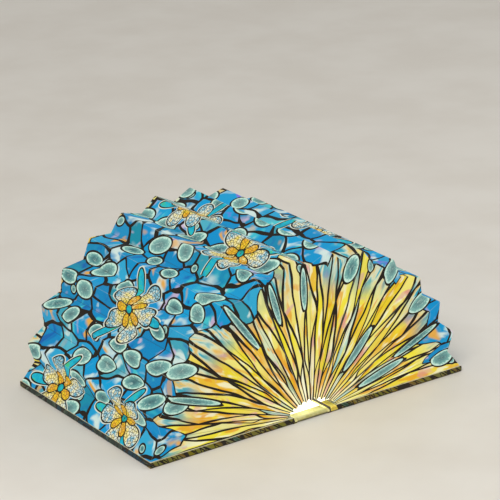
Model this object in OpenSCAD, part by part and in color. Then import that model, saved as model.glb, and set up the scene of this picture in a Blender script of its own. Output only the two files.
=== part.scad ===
// Folding book lamp, lying open at 180 degrees with its pleated shade standing up as a fan.
// +X runs across both covers, +Y along the spine and +Z up. The origin is the middle of the
// spine's underside, on the table.

/* [Covers] */
// Length of the covers and the spine, along the spine
cover_length = 215; // [195:1:240]
// Width of a cover, from its hinge-side edge to its fore edge
cover_width = 148.5; // [135:0.5:165]
// Thickness of a cover's stiff board
board_t = 4.2; // [3:0.1:5]
// Thickness of the printed wrap and of its turn-ins
wrap_t = 0.6; // [0.4:0.1:1]
// Width of the wrap's turn-in over the inside of a cover
turn_in = 14; // [8:1:20]
// Rounding of the wrapped outer edges
edge_round = 0.9; // [0.4:0.1:1.4]

/* [Spine] */
// Distance between the two hinge lines
hinge_span = 33; // [30:1:40]
// Thickness of the spine's stiff board
spine_board_t = 2.2; // [1.6:0.1:3]
// Distance from a hinge line to the cover's board
hinge_groove = 3.5; // [3.2:0.1:5]
// Half of the slit that the fold line leaves between the two wraps
fold_gap = 0.35; // [0.3:0.05:0.5]
// Width of the wrap's turn-in over the spine's ends
spine_turn_in = 12; // [8:1:18]

/* [Shade] */
// Depth of a pleat, from its ridge line to its valley line
pleat_depth = 10; // [6:0.5:14]
// How far a valley line stops short of the ridge line at each end
valley_inset = 2; // [1:0.5:5]
// How much nearer to its hinge line the sheet starts on a cover than in the middle
hub_drop = 5.5; // [0:0.5:6]
// How much further out the ridge lines start than the valley lines
hub_scallop = 3; // [0:0.5:4]
// Thickness of the shade's sheet
sheet_t = 0.5; // [0.4:0.1:0.8]
// Distance from a cover's end to the shade's end
end_margin = 1.5; // [1:0.5:4]
// Distance from a cover's fore edge to the foot of the shade
fore_margin = 1; // [1:0.5:4]
// Width of the glue flap on a cover
flap_width = 12; // [8:1:20]
// Gap between two neighbouring pleats at their valley line
pleat_gap = 0.3; // [0.2:0.05:0.5]

/* [Light core] */
// Height of the light core above the spine's lining
core_height = 12.4; // [11.8:0.2:14]
// Distance from the shade's end to the light core's end
core_inset = 14.5; // [10:0.5:25]
// Clearance between the light core and a closed cover
core_clearance = 1.4; // [1:0.1:1.6]
// Clearance between the light core and the shade's inner ends
hub_clearance = 1; // [0.8:0.1:3]
// Wall of the diffuser
diffuser_wall = 0.9; // [0.7:0.1:1]
// Wall of the metal channel
channel_wall = 1; // [0.8:0.1:1.2]
// Height of the channel's upright sides
channel_side = 4; // [3.6:0.1:4.4]
// Width of the channel's flat top
channel_top = 7; // [6:0.2:8]
// Thickness of the foam tape under the channel
tape_t = 0.6; // [0.4:0.1:0.8]
// Thickness of an end cap
cap_t = 1.6; // [1.2:0.1:2.5]
// Depth to which an end cap's tongue enters the channel
cap_tongue = 3; // [2:0.5:5]

/* [Lights] */
// Width of a light strip
strip_width = 4.8; // [4:0.2:5]
// Thickness of a light strip
strip_t = 0.5; // [0.4:0.1:0.6]
// Number of light chips on a strip
chips = 16; // [8:1:24]
// Size of a chip along the strip
chip_length = 3.5; // [2.5:0.1:4]
// Size of a chip across the strip
chip_width = 2.8; // [2:0.1:3]
// Thickness of a chip
chip_t = 0.7; // [0.5:0.1:0.8]

/* [Battery and charging] */
// Length of the battery
battery_length = 100; // [70:1:110]
// Width of the battery
battery_width = 11; // [9:0.5:11.5]
// Thickness of the battery
battery_t = 3.8; // [3:0.1:4]
// Length of the charging board
circuit_length = 26; // [20:1:34]
// Width of the charging board
circuit_width = 12; // [10:0.5:12.5]
// Thickness of the charging board
circuit_t = 1; // [0.8:0.1:1.2]
// Width of the charging socket's shell
socket_width = 8.9; // [8.9:0.1:9.1]
// Height of the charging socket's shell
socket_height = 3.2; // [3.1:0.1:3.3]
// Depth of the charging socket's shell
socket_depth = 7.3; // [6.5:0.1:8]
// Diameter of the switch magnet in the left cover
magnet_d = 8; // [5:1:10]
// Thickness of the switch magnet
magnet_t = 2; // [1.5:0.1:2.5]

/* [Hidden] */
$fn = 48;

// one node a moving ridge, from pleat_1 to the last but one
pleats = 13;

// fits and seats
board_fit = 0.05;
lining_fit = 0.2;
core_fit = 0.15;
small_fit = 0.3;
light_room = 1.8;

// covers and spine
hinge_x = hinge_span / 2;
hinge_z = wrap_t / 2;
cover_t = board_t + 2 * wrap_t;
spine_t = spine_board_t + 2 * wrap_t;
board_edge = hinge_x + hinge_groove;
fore_edge = board_edge + cover_width;
spine_half = hinge_x - fold_gap;
half_length = cover_length / 2;

// shade: every fold line turns about its own hinge line, spread evenly over the spine
shade_radius = hinge_groove + cover_width - fore_margin;
shade_half = half_length - end_margin;
seat_offset = cover_t - hinge_z;
hub_middle = spine_t + core_height + hub_clearance - hinge_z;
fold_angle = 180 / pleats;
panel_across = shade_radius * sin(fold_angle / 2);
sheet_radial = sheet_t * norm([pleat_depth, panel_across]) / panel_across;
valley_pitch = (shade_radius - pleat_depth) * fold_angle * PI / 180;
slit = pleat_gap / 2 / valley_pitch;

// light core, with z measured from the spine's lining
core_half = shade_half - core_inset;
core_half_width = hinge_x - seat_offset - core_clearance;
channel_half = core_half - cap_t - core_fit;
channel_half_width = core_half_width - diffuser_wall - small_fit;
diffuser_centre = core_height - core_half_width;
slope_start = [channel_half_width, tape_t + channel_side];
slope_end = [channel_top / 2, core_height - diffuser_wall - chip_t - strip_t - light_room];
slope_angle = atan2(slope_end[1] - slope_start[1], slope_start[0] - slope_end[0]);
channel_floor = tape_t + channel_wall;
tape_side = 1.2;
tape_end = 4;
lip = 0.9;
lip_t = tape_t - 0.1;
tongue_wall = 1;
strip_end = 2;
strip_length = 2 * (channel_half - strip_end);
chip_pitch = strip_length / chips;

// charging board and socket
circuit_back = channel_half - cap_tongue - core_fit;
circuit_middle = circuit_back - circuit_length / 2;
socket_z = channel_floor + circuit_t + socket_height / 2;
socket_back = core_half - 0.3;
socket_wall = 0.35;
socket_gap = 0.2;
socket_back_wall = 1;
contact_width = socket_width - 2.3;
contact_height = 0.8;
contact_setback = 0.8;
lead_run = 6;
lead_overlap = 3;
lead_spacing = 4;
lead_d = 1.2;
lead_gap = 0.1;
battery_back = circuit_back - circuit_length - lead_run;
battery_round = 1;
hall_size = [3, 4, 1.5];
hall_y = circuit_middle - 6;
magnet_x = board_edge + magnet_d / 2 + 2;
magnet_y = hall_y;

// Turns a profile in x and z into a bar along y, from y0 to y1
module along_y(y0, y1) {
  translate([0, y1, 0]) rotate([90, 0, 0]) linear_extrude(height = y1 - y0) children();
}

// Turns a profile in y and z into a bar along x, from x0 to x1
module along_x(x0, x1) {
  translate([x0, 0, 0]) rotate([90, 0, 90]) linear_extrude(height = x1 - x0) children();
}

// Rectangle from corner a to corner b with each corner rounded by r
module rounded_rectangle(a, b, r) {
  union() {
    translate([a[0] + r, a[1]]) square([b[0] - a[0] - 2 * r, b[1] - a[1]]);
    translate([a[0], a[1] + r]) square([b[0] - a[0], b[1] - a[1] - 2 * r]);
    for (x = [a[0] + r, b[0] - r]) for (y = [a[1] + r, b[1] - r]) translate([x, y]) circle(r = r);
  }
}

// Box between two opposite corners
module box(a, b) {
  translate(a) cube(b - a);
}

// Spine
module spine_wrap() {
  color([0.66, 0.60, 0.22]) difference() {
    along_x(-spine_half, spine_half)
      rounded_rectangle([-half_length, 0], [half_length, spine_t], spine_t / 2 - 0.01);
    along_x(-hinge_x, hinge_x) rounded_rectangle([-half_length + wrap_t, wrap_t],
      [half_length - wrap_t, wrap_t + spine_board_t], spine_board_t / 2 - 0.01);
    box([-hinge_x, spine_turn_in - half_length, wrap_t + spine_board_t / 2],
      [hinge_x, half_length - spine_turn_in, spine_t + 1]);
  }
}

module spine_board() {
  board_half = half_length - wrap_t - board_fit;
  color([0.62, 0.56, 0.46]) along_x(-spine_half, spine_half)
    rounded_rectangle([-board_half, wrap_t], [board_half, wrap_t + spine_board_t],
      spine_board_t / 2 - 0.01);
}

module spine_lining() {
  lining_half = half_length - spine_turn_in - lining_fit;
  color([0.93, 0.88, 0.62])
    box([-spine_half, -lining_half, spine_t - wrap_t], [spine_half, lining_half, spine_t]);
}

// Outline of the channel in x and z, drawn in by an even wall
module channel_outline(wall) {
  side = channel_half_width - wall;
  shoulder = slope_start[1] - wall * tan(45 - slope_angle / 2);
  top = slope_end[1] - wall;
  flat = slope_end[0] - wall * tan(slope_angle / 2);
  polygon([
    [-side, tape_t + wall], [side, tape_t + wall], [side, shoulder],
    [flat, top], [-flat, top], [-side, shoulder]
  ]);
}

// Outline of the light core in x and z, drawn in by an even wall
module core_outline(wall) {
  half = core_half_width - wall;
  union() {
    translate([-half, 0]) square([2 * half, diffuser_centre]);
    intersection() {
      translate([0, diffuser_centre]) circle(r = half, $fn = 96);
      translate([-half, diffuser_centre - 0.001]) square([2 * half, half + 1]);
    }
  }
}

// Puts a piece of the light core on the spine's lining
module on_spine() {
  translate([0, 0, spine_t]) children();
}

module core_tape() {
  half = [channel_half_width - tape_side, channel_half - tape_end];
  color([0.92, 0.92, 0.90]) on_spine() box([-half[0], -half[1], 0], [half[0], half[1], tape_t]);
}

module core_channel() {
  color([0.78, 0.79, 0.81]) on_spine() along_y(-channel_half, channel_half) difference() {
    channel_outline(0);
    channel_outline(channel_wall);
  }
}

module diffuser() {
  lip_middle = core_half_width - (diffuser_wall + lip) / 2;
  color([1.0, 0.97, 0.86]) on_spine() along_y(-channel_half, channel_half) union() {
    difference() {
      core_outline(0);
      translate([0, -0.01]) core_outline(diffuser_wall);
    }
    for (side = [-1, 1])
      translate([side * lip_middle, lip_t / 2]) square([diffuser_wall + lip, lip_t], center = true);
  }
}

// End cap at the front, with its tongue inside the channel
module plain_cap() {
  along_y(-core_half, cap_t - core_half) core_outline(0);
  along_y(cap_t - core_half - 0.01, cap_t + cap_tongue - core_half) difference() {
    channel_outline(channel_wall + core_fit);
    channel_outline(channel_wall + core_fit + tongue_wall);
  }
}

module end_cap_front() {
  color([0.98, 0.95, 0.84]) on_spine() plain_cap();
}

module end_cap_back() {
  color([0.98, 0.95, 0.84]) on_spine() difference() {
    mirror([0, 1, 0]) plain_cap();
    along_y(channel_half - cap_tongue - 1, core_half + 1)
      translate([0, socket_z]) socket_outline(socket_gap);
  }
}

// Outline of the charging socket, grown by a gap
module socket_outline(gap) {
  r = socket_height / 2 + gap;
  rounded_rectangle([-socket_width / 2 - gap, -r], [socket_width / 2 + gap, r], r - 0.01);
}

// Lights on the channel's two sloping faces: side is -1 or 1, lift is the height over the face
module on_slope(side, lift) {
  middle = (slope_start + slope_end) / 2;
  on_spine() translate([side * middle[0], 0, middle[1]]) rotate([0, side * slope_angle, 0])
    translate([0, 0, lift]) children();
}

module light_strip(side) {
  color([0.95, 0.95, 0.93]) on_slope(side, 0)
    translate([-strip_width / 2, -strip_length / 2, 0]) cube([strip_width, strip_length, strip_t]);
}

module light_chips(side) {
  color([1.0, 0.86, 0.45]) on_slope(side, strip_t) for (i = [0 : chips - 1])
    translate([-chip_width / 2, (i + 0.5) * chip_pitch - strip_length / 2 - chip_length / 2, 0])
      cube([chip_width, chip_length, chip_t]);
}

// Battery, its leads, the charging board with its socket, and the switch that senses the cover
module battery() {
  z = channel_floor;
  color([0.72, 0.75, 0.80]) on_spine() along_y(battery_back - battery_length, battery_back)
    rounded_rectangle([-battery_width / 2, z], [battery_width / 2, z + battery_t], battery_round);
}

module battery_leads() {
  z = channel_floor + circuit_t + lead_gap + lead_d / 2;
  color([0.75, 0.12, 0.10]) on_spine() for (side = [-1, 1])
    along_y(battery_back, battery_back + lead_run + lead_overlap)
      translate([side * lead_spacing / 2, z]) circle(d = lead_d);
}

module circuit_board() {
  color([0.10, 0.42, 0.22]) on_spine()
    box([-circuit_width / 2, circuit_back - circuit_length, channel_floor],
      [circuit_width / 2, circuit_back, channel_floor + circuit_t]);
}

module charge_socket() {
  front = socket_back - socket_depth;
  color([0.80, 0.80, 0.82]) on_spine() translate([0, 0, socket_z]) union() {
    difference() {
      along_y(front, socket_back) socket_outline(0);
      along_y(front + socket_back_wall, socket_back + 1) socket_outline(-socket_wall);
    }
    box([-contact_width / 2, front + socket_back_wall / 2, -contact_height / 2],
      [contact_width / 2, socket_back - contact_setback, contact_height / 2]);
  }
}

module hall_switch() {
  z = channel_floor + circuit_t;
  color([0.10, 0.10, 0.11]) on_spine()
    translate([-circuit_width / 2, hall_y - hall_size[1] / 2, z]) cube(hall_size);
}

// Covers, drawn for the right side and mirrored for the left
module cover_wrap() {
  inner_turn = fore_edge - turn_in;
  color([0.38, 0.36, 0.12]) union() {
    difference() {
      intersection() {
        along_y(-half_length - 1, half_length + 1)
          rounded_rectangle([board_edge - 10, 0], [fore_edge, cover_t], edge_round);
        along_x(board_edge, fore_edge + 1)
          rounded_rectangle([-half_length, 0], [half_length, cover_t], edge_round);
      }
      box([board_edge - 1, wrap_t - half_length, wrap_t],
        [fore_edge - wrap_t, half_length - wrap_t, wrap_t + board_t]);
      box([board_edge - 1, turn_in - half_length, wrap_t + board_t / 2],
        [inner_turn, half_length - turn_in, cover_t + 1]);
    }
    box([hinge_x + fold_gap, -half_length, 0], [board_edge + 1, half_length, wrap_t]);
  }
}

module cover_board() {
  half = half_length - wrap_t - board_fit;
  color([0.62, 0.56, 0.46])
    box([board_edge, -half, wrap_t], [fore_edge - wrap_t - board_fit, half, wrap_t + board_t]);
}

module cover_lining() {
  half = half_length - turn_in - lining_fit;
  color([0.90, 0.88, 0.80])
    box([board_edge, -half, cover_t - wrap_t], [fore_edge - turn_in - lining_fit, half, cover_t]);
}

module switch_magnet() {
  color([0.80, 0.80, 0.82]) magnet_at(magnet_d, magnet_t);
}

module magnet_at(d, t) {
  translate([-magnet_x, magnet_y, wrap_t + board_t - magnet_t]) cylinder(d = d, h = t);
}

module cover_left_board() {
  difference() {
    mirror([1, 0, 0]) cover_board();
    magnet_at(magnet_d + 2 * board_fit, magnet_t + 1);
  }
}

// Point of the shade's sheet: s counts pleats from the left cover, layer 0 is the outside and
// layer 1 the inside, and row runs over the rim from the front hub to the back hub
function valley_share(s) = 2 * abs(s - round(s));
function rim_radius(s, layer) = shade_radius - pleat_depth * valley_share(s) - layer * sheet_radial;
function hub_radius(s) =
  hub_middle - hub_drop * pow(1 - 2 * s / pleats, 2) + hub_scallop * (0.5 - valley_share(s));
function row_radius(s, layer, row) = row == 0 || row == 3 ? hub_radius(s) : rim_radius(s, layer);
function row_y(s, layer, row) =
  (row < 2 ? -1 : 1) * (shade_half - layer * sheet_t
    - valley_inset * valley_share(s) * row_radius(s, layer, row) / shade_radius);
function leaf_x(s) = hinge_x * (2 * s / pleats - 1);
function leaf_seat(s) = seat_offset * (1 - 2 * s / pleats);
function sheet_point(s, layer, row) =
  let (
    angle = s * fold_angle,
    r = row_radius(s, layer, row),
    x = leaf_x(s) - r * cos(angle) + leaf_seat(s) * sin(angle),
    z = hinge_z + r * sin(angle) + leaf_seat(s) * cos(angle)
  ) [x, row_y(s, layer, row), z];

// Quadrilateral as two triangles
function split(a, b, c, d) = [[a, b, c], [a, c, d]];

// Folded sheet over a list of fold lines
module folded_sheet(folds) {
  n = len(folds);
  rows = 4;
  last = n - 1;
  points = [for (layer = [0, 1]) for (s = folds) for (row = [0 : rows - 1]) sheet_point(s, layer, row)];
  outside = function(i, row) i * rows + row;
  inside = function(i, row) (n + i) * rows + row;
  skin = [for (i = [0 : last - 1]) for (row = [0 : rows - 2]) each concat(
    split(outside(i, row), outside(i, row + 1), outside(i + 1, row + 1), outside(i + 1, row)),
    split(inside(i, row), inside(i + 1, row), inside(i + 1, row + 1), inside(i, row + 1)))];
  sides = [for (row = [0 : rows - 2]) each concat(
    split(outside(0, row), inside(0, row), inside(0, row + 1), outside(0, row + 1)),
    split(outside(last, row), outside(last, row + 1), inside(last, row + 1), inside(last, row)))];
  ends = [for (i = [0 : last - 1]) each concat(
    split(outside(i, 0), outside(i + 1, 0), inside(i + 1, 0), inside(i, 0)),
    split(outside(i + 1, 3), outside(i, 3), inside(i, 3), inside(i + 1, 3)))];
  polyhedron(points, concat(skin, sides, ends));
}

// One pleat: from the valley before its ridge to the valley after it
module pleat(k) {
  color([0.22, 0.55, 0.72])
    folded_sheet([k - 0.5 + slit, k, k + 0.5 - slit]);
}

// Half pleat that stands on a cover, with its glue flap around the cover's three edges
module foot_pleat() {
  root = leaf_x(pleats) + hub_radius(pleats);
  foot = leaf_x(pleats) + shade_radius;
  reach = shade_half - sheet_t / 2;
  color([0.80, 0.68, 0.20]) union() {
    folded_sheet([pleats - 0.5 + slit, pleats]);
    difference() {
      box([root + 2, -reach, cover_t], [foot - sheet_radial, reach, cover_t + sheet_t]);
      box([root, flap_width - reach, cover_t - 1],
        [foot - sheet_radial - flap_width, reach - flap_width, cover_t + 1]);
    }
  }
}

spine_wrap();
spine_board();
spine_lining();
core_tape();
core_channel();
diffuser();
end_cap_front();
end_cap_back();
light_strip(-1);  // light_strip_left
light_strip(1);  // light_strip_right
light_chips(-1);  // light_chips_left
light_chips(1);  // light_chips_right
battery();
battery_leads();
circuit_board();
charge_socket();
hall_switch();
mirror([1, 0, 0]) cover_wrap();  // cover_left_wrap
cover_left_board();
mirror([1, 0, 0]) cover_lining();  // cover_left_lining
switch_magnet();
mirror([1, 0, 0]) foot_pleat();  // foot_pleat_left
cover_wrap();  // cover_right_wrap
cover_board();  // cover_right_board
cover_lining();  // cover_right_lining
foot_pleat();  // foot_pleat_right
pleat(1);  // pleat_1
pleat(2);  // pleat_2
pleat(3);  // pleat_3
pleat(4);  // pleat_4
pleat(5);  // pleat_5
pleat(6);  // pleat_6
pleat(7);  // pleat_7
pleat(8);  // pleat_8
pleat(9);  // pleat_9
pleat(10);  // pleat_10
pleat(11);  // pleat_11
pleat(12);  // pleat_12
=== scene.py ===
import math
from functools import partialmethod
import bmesh
import bpy
from mathutils import Matrix, Vector


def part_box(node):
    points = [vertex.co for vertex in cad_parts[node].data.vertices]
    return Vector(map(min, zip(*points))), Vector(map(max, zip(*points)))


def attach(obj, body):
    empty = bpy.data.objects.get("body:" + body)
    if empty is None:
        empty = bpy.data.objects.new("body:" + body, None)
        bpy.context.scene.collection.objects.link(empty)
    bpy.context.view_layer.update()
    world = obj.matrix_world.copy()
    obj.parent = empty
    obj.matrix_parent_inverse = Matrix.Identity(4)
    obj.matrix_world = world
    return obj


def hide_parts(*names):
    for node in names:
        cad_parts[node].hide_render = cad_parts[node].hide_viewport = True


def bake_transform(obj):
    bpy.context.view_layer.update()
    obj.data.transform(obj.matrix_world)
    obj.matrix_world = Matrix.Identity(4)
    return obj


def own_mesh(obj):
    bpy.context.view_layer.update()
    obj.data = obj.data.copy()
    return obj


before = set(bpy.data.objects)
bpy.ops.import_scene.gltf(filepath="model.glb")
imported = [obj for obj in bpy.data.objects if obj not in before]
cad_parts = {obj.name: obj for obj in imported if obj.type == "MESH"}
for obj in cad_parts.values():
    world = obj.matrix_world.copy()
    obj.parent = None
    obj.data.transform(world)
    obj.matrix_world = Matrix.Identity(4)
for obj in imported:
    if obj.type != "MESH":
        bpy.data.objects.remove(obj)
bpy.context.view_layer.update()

mm = 0.001


# small helpers

desk = {}  # the node tree that is being built, and its material


def ink(red, green, blue):
    # a colour as it looks on screen, from 0 to 255, as Blender's linear values
    def linear(part):
        part /= 255
        return part / 12.92 if part <= 0.04045 else ((part + 0.055) / 1.055) ** 2.4
    return linear(red), linear(green), linear(blue), 1.0


def plug(value, socket):
    if isinstance(value, Num):
        value = value.socket
    if isinstance(value, bpy.types.NodeSocket):
        desk["tree"].links.new(value, socket)
    else:
        socket.default_value = value


def addNode(kind, inputs=(), **settings):
    node = desk["tree"].nodes.new(kind)
    for name, value in settings.items():
        setattr(node, name, value)
    for name, value in dict(inputs).items():
        plug(value, node.inputs[name])
    return node


class Num:
    # a number in a node tree, so that plain sums build the Math nodes

    def __init__(self, socket):
        self.socket = socket

    def do(self, operation, *others):
        return Num(addNode("ShaderNodeMath", enumerate((self, *others)), operation=operation).outputs[0])

    __add__ = __radd__ = partialmethod(do, "ADD")
    __mul__ = __rmul__ = partialmethod(do, "MULTIPLY")
    __sub__ = partialmethod(do, "SUBTRACT")
    __truediv__ = partialmethod(do, "DIVIDE")
    __pow__ = partialmethod(do, "POWER")

    def __rsub__(self, other):
        return (self * -1).do("ADD", other)

    def size(self):
        return self.do("ABSOLUTE")

    def ramp(self, low, high, first=0.0, last=1.0, form="SMOOTHSTEP"):
        names = ("Value", "From Min", "From Max", "To Min", "To Max")
        values = zip(names, (self, low, high, first, last))
        return Num(addNode("ShaderNodeMapRange", values, interpolation_type=form).outputs["Result"])

    def fade(self, low, high):
        # from 1 down to 0
        return self.ramp(low, high, 1, 0)

    def spread(self, first, last):
        # a random number from 0 to 1, taken to a range
        return self.ramp(0, 1, first, last, "LINEAR")


def joined(x, y, z=0.0):
    return addNode("ShaderNodeCombineXYZ", {"X": x, "Y": y, "Z": z}).outputs[0]


def parts(vector):
    return [Num(socket) for socket in addNode("ShaderNodeSeparateXYZ", {0: vector}).outputs]


def stretched(vector, scale):
    return addNode("ShaderNodeVectorMath", {0: vector, 1: scale}, operation="MULTIPLY").outputs[0]


def noise(vector, scale, detail=2.0, roughness=0.5, distortion=0.0):
    node = addNode("ShaderNodeTexNoise", {
        "Vector": vector, "Scale": scale, "Detail": detail, "Roughness": roughness, "Distortion": distortion})
    return Num(node.outputs["Fac"])


def drift(vector, scale, detail):
    # three slow waves in one
    waves = addNode("ShaderNodeTexNoise", {"Vector": vector, "Scale": scale, "Detail": detail})
    return parts(waves.outputs["Color"])


def cells(vector, scale=1.0, looseness=1.0, **settings):
    inputs = {"Vector": vector, "Scale": scale, "Randomness": looseness}
    return addNode("ShaderNodeTexVoronoi", inputs, **settings).outputs


def dice(x, y, z=0.0, form="3D"):
    # three random numbers for a cell
    node = addNode("ShaderNodeTexWhiteNoise", {"Vector": joined(x, y, z)}, noise_dimensions=form)
    return parts(node.outputs["Color"])


def mixed(share, first, second, how="MIX"):
    node = addNode("ShaderNodeMix", {0: share, 6: first, 7: second}, data_type="RGBA", blend_type=how)
    return node.outputs[2]


def shaded(colour, tone):
    return mixed(1.0, colour, joined(tone, tone, tone), "MULTIPLY")


def palette(value, stops):
    # each stop is its place and its red, green and blue on screen
    node = addNode("ShaderNodeValToRGB", {"Fac": value})
    elements = node.color_ramp.elements
    while len(elements) < len(stops):
        elements.new(1.0)
    for element, (place, *colour) in zip(elements, stops):
        element.position, element.color = place, ink(*colour)
    return node.outputs["Color"]


def twoInks(value, first, last):
    return palette(value, [(0.3, *first), (0.7, *last)])


inputKinds = {
    float: "NodeSocketFloat", int: "NodeSocketInt", tuple: "NodeSocketColor", Vector: "NodeSocketVector"}
outputKinds = {"Color": "NodeSocketColor", "Geometry": "NodeSocketGeometry"}


def labelled(sockets):
    return {s.name: Num(s) if s.type in ("VALUE", "INT") else s for s in sockets if s.name}


def startGroup(name, inputs, outputs, kind="ShaderNodeTree"):
    # an input is given by its first value, or by its kind where it has none
    tree = desk["tree"] = bpy.data.node_groups.new(name, kind)
    addSocket = tree.interface.new_socket
    for label, value in inputs.items():
        form = inputKinds.get(type(value), value)
        socket = addSocket(label, in_out="INPUT", socket_type=form)
        if form != value:
            socket.default_value = value
    for label in outputs:
        addSocket(label, in_out="OUTPUT", socket_type=outputKinds.get(label, "NodeSocketFloat"))
    start = tree.nodes.new("NodeGroupInput")
    return labelled(start.outputs)


def endGroup(results):
    addNode("NodeGroupOutput", results)
    return desk["tree"]


def useGroup(group, inputs):
    node = addNode("ShaderNodeGroup", node_tree=group)
    for name, value in inputs.items():
        plug(value, node.inputs[name])
    return labelled(node.outputs)


# the shade's sizes, as the frame has them

shade = {
    "pleats": 13,
    "radius": 151 * mm,  # hinge line to ridge
    "hub": 16.5 * mm,  # hinge line to the inner end of the end fans, in the middle
    "hubDrop": 5.5 * mm,  # how much less that is on the covers
    "scallop": 3 * mm,  # how much further out the ridges end than the valleys
    "depth": 10 * mm,  # ridge to valley
    "halfLength": 106 * mm,  # along the spine
    "inset": 2 * mm,  # valley's end behind the ridge's end
    "hingeX": 16.5 * mm,
    "hingeZ": 0.3 * mm,
    "seat": 5.1 * mm,  # first fold line over its hinge line
    "thick": 0.5 * mm,
    "soft": 0.035,  # rounding of a ridge, as a share of the panel
    "cornerSoft": 0.22 * mm,
    "sag": 0.35 * mm,
    "columns": 25,
    "rows": 161,
    "flat": 0.042,  # share of a pleat's depth that is left when the lamp is shut
}
foldAngle = math.pi / shade["pleats"]
panelWidth = math.hypot(shade["depth"], shade["radius"] * math.sin(foldAngle / 2))
pleatWidth = 2 * panelWidth


# leaded glass print

lead = ink(34, 27, 19)
glass = {
    "paneWidth": 23 * mm,
    "paneLength": 27 * mm,
    "paneLine": 1.38 * mm,  # half the width of the lead between two panes
    "rayWidth": 17.5 * mm,  # two rays side by side
    "raySwing": 132 * mm,  # length over which the line between them swings across
    "rayLine": 1.22 * mm,
    "raggedness": 16 * mm,  # of the line where the panes end and the rays begin
    "stoneRing": 1.75 * mm,
    "blues": [(0.0, 4, 140, 200), (0.18, 12, 158, 210), (0.36, 10, 124, 180), (0.5, 48, 168, 208),
              (0.64, 8, 148, 204), (0.78, 16, 134, 190), (0.88, 22, 138, 158), (1.0, 84, 180, 200)],
    "golds": [(0.0, 236, 218, 40), (0.2, 240, 226, 76), (0.38, 230, 200, 40), (0.52, 240, 232, 130),
              (0.66, 234, 212, 48), (0.8, 230, 168, 50), (0.88, 238, 226, 130), (1.0, 204, 226, 202)],
    "hubGolds": [(0.0, 238, 222, 50), (0.16, 246, 242, 190), (0.3, 234, 200, 40), (0.44, 242, 230, 100),
                 (0.56, 230, 164, 34), (0.68, 240, 228, 62), (0.8, 250, 248, 224), (0.9, 232, 204, 44),
                 (1.0, 150, 204, 198)],
    "rimInks": [(0.3, 14, 138, 182), (0.44, 60, 168, 184), (0.52, 206, 220, 196), (0.6, 226, 186, 90),
                (0.68, 120, 186, 190)],
    "stoneInks": [(0.1, 66, 108, 112), (0.5, 90, 142, 141), (0.78, 118, 173, 164), (0.86, 188, 226, 208),
                  (1.0, 206, 238, 220)],
}

# each kind of stone has its lattice and half sizes, the share of cells that hold one, how far they turn
# and how loosely they lie
stoneLabels = ("Pitch Across", "Pitch Along", "Half Width", "Half Length", "Share", "Turn", "Looseness")
stones = {
    "bead": (46 * mm, 52 * mm, 3.6 * mm, 4.6 * mm, 0.6, 0.8, 0.9),
    "pebble": (29 * mm, 36 * mm, 7.7 * mm, 13.2 * mm, 0.68, 0.6, 0.62),
    "spear": (46 * mm, 62 * mm, 3.4 * mm, 26 * mm, 0.6, 0.06, 0.6),
}


def stoneGroup():
    # ovals scattered on a loose lattice; the distance is negative inside one
    given = startGroup("scattered jewels", {
        "Across": 0.0, "Along": 0.0, "Squeeze": 1.0, "Seed": 0.0, **dict(zip(stoneLabels, stones["pebble"])),
    }, ("Distance", "Centre Along", "Tone", "Inner"))
    seedAlong = given["Seed"] * 0.37
    across = given["Across"] / given["Pitch Across"] + given["Seed"]
    along = given["Along"] / given["Pitch Along"] + seedAlong
    cell = cells(joined(across, along), 1.0, given["Looseness"], voronoi_dimensions="2D")
    centreX, centreY, _ = parts(cell["Position"])
    pick, tone, turn = parts(cell["Color"])
    dx = (across - centreX) * given["Pitch Across"] * given["Squeeze"]
    dy = (along - centreY) * given["Pitch Along"]
    angle = (turn - 0.5) * 2 * given["Turn"]
    cos, sin = angle.do("COSINE"), angle.do("SINE")
    x, y = dx * cos + dy * sin, dy * cos - dx * sin
    halfWidth = given["Half Width"] * tone.spread(0.78, 1.2)
    halfLength = given["Half Length"] * turn.spread(0.72, 1.15)
    reach, distance = ovalDistance(x / halfWidth, y / halfLength, halfWidth, halfLength)
    return endGroup({
        "Distance": distance + pick.do("GREATER_THAN", given["Share"]),
        "Centre Along": (centreY - seedAlong) * given["Pitch Along"], "Tone": tone, "Inner": reach})


def ovalDistance(px, py, halfWidth, halfLength):
    # reach is 1 on the oval's outline, and the distance to it is in metres
    reach = (px * px + py * py).do("SQRT")
    slope = ((px / halfWidth) ** 2 + (py / halfLength) ** 2).do("SQRT")
    return reach, reach * (reach - 1) / slope.do("MAXIMUM", 0.001)


# petals and leaves: their count, first turn, middle's distance from the heart, half length and half width
blossom = {
    "pitchAcross": 112 * mm,
    "pitchAlong": 108 * mm,
    "jitterAcross": 26 * mm,
    "jitterAlong": 22 * mm,
    "leaves": (3, 0.5, 28 * mm, 16 * mm, 4.6 * mm),
    "outer": (5, 0.0, 18.5 * mm, 13.5 * mm, 9.4 * mm),
    "inner": (5, math.pi / 5, 9.5 * mm, 7.2 * mm, 4.4 * mm),
    "heart": 3.8 * mm,
    "halo": 1.5 * mm,
    "petalInks": [(0.22, 236, 206, 52), (0.42, 240, 226, 150), (0.56, 226, 232, 214), (0.7, 92, 178, 206),
                  (0.84, 226, 222, 190)],
    "innerInks": [(0.3, 240, 208, 40), (0.55, 232, 168, 46), (0.75, 244, 232, 150)],
    "leafInks": [(0.3, 16, 150, 170), (0.5, 20, 178, 206), (0.68, 70, 190, 130)],
    "heartInks": [(0.3, 20, 130, 110), (0.7, 30, 190, 200)],
}


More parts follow.
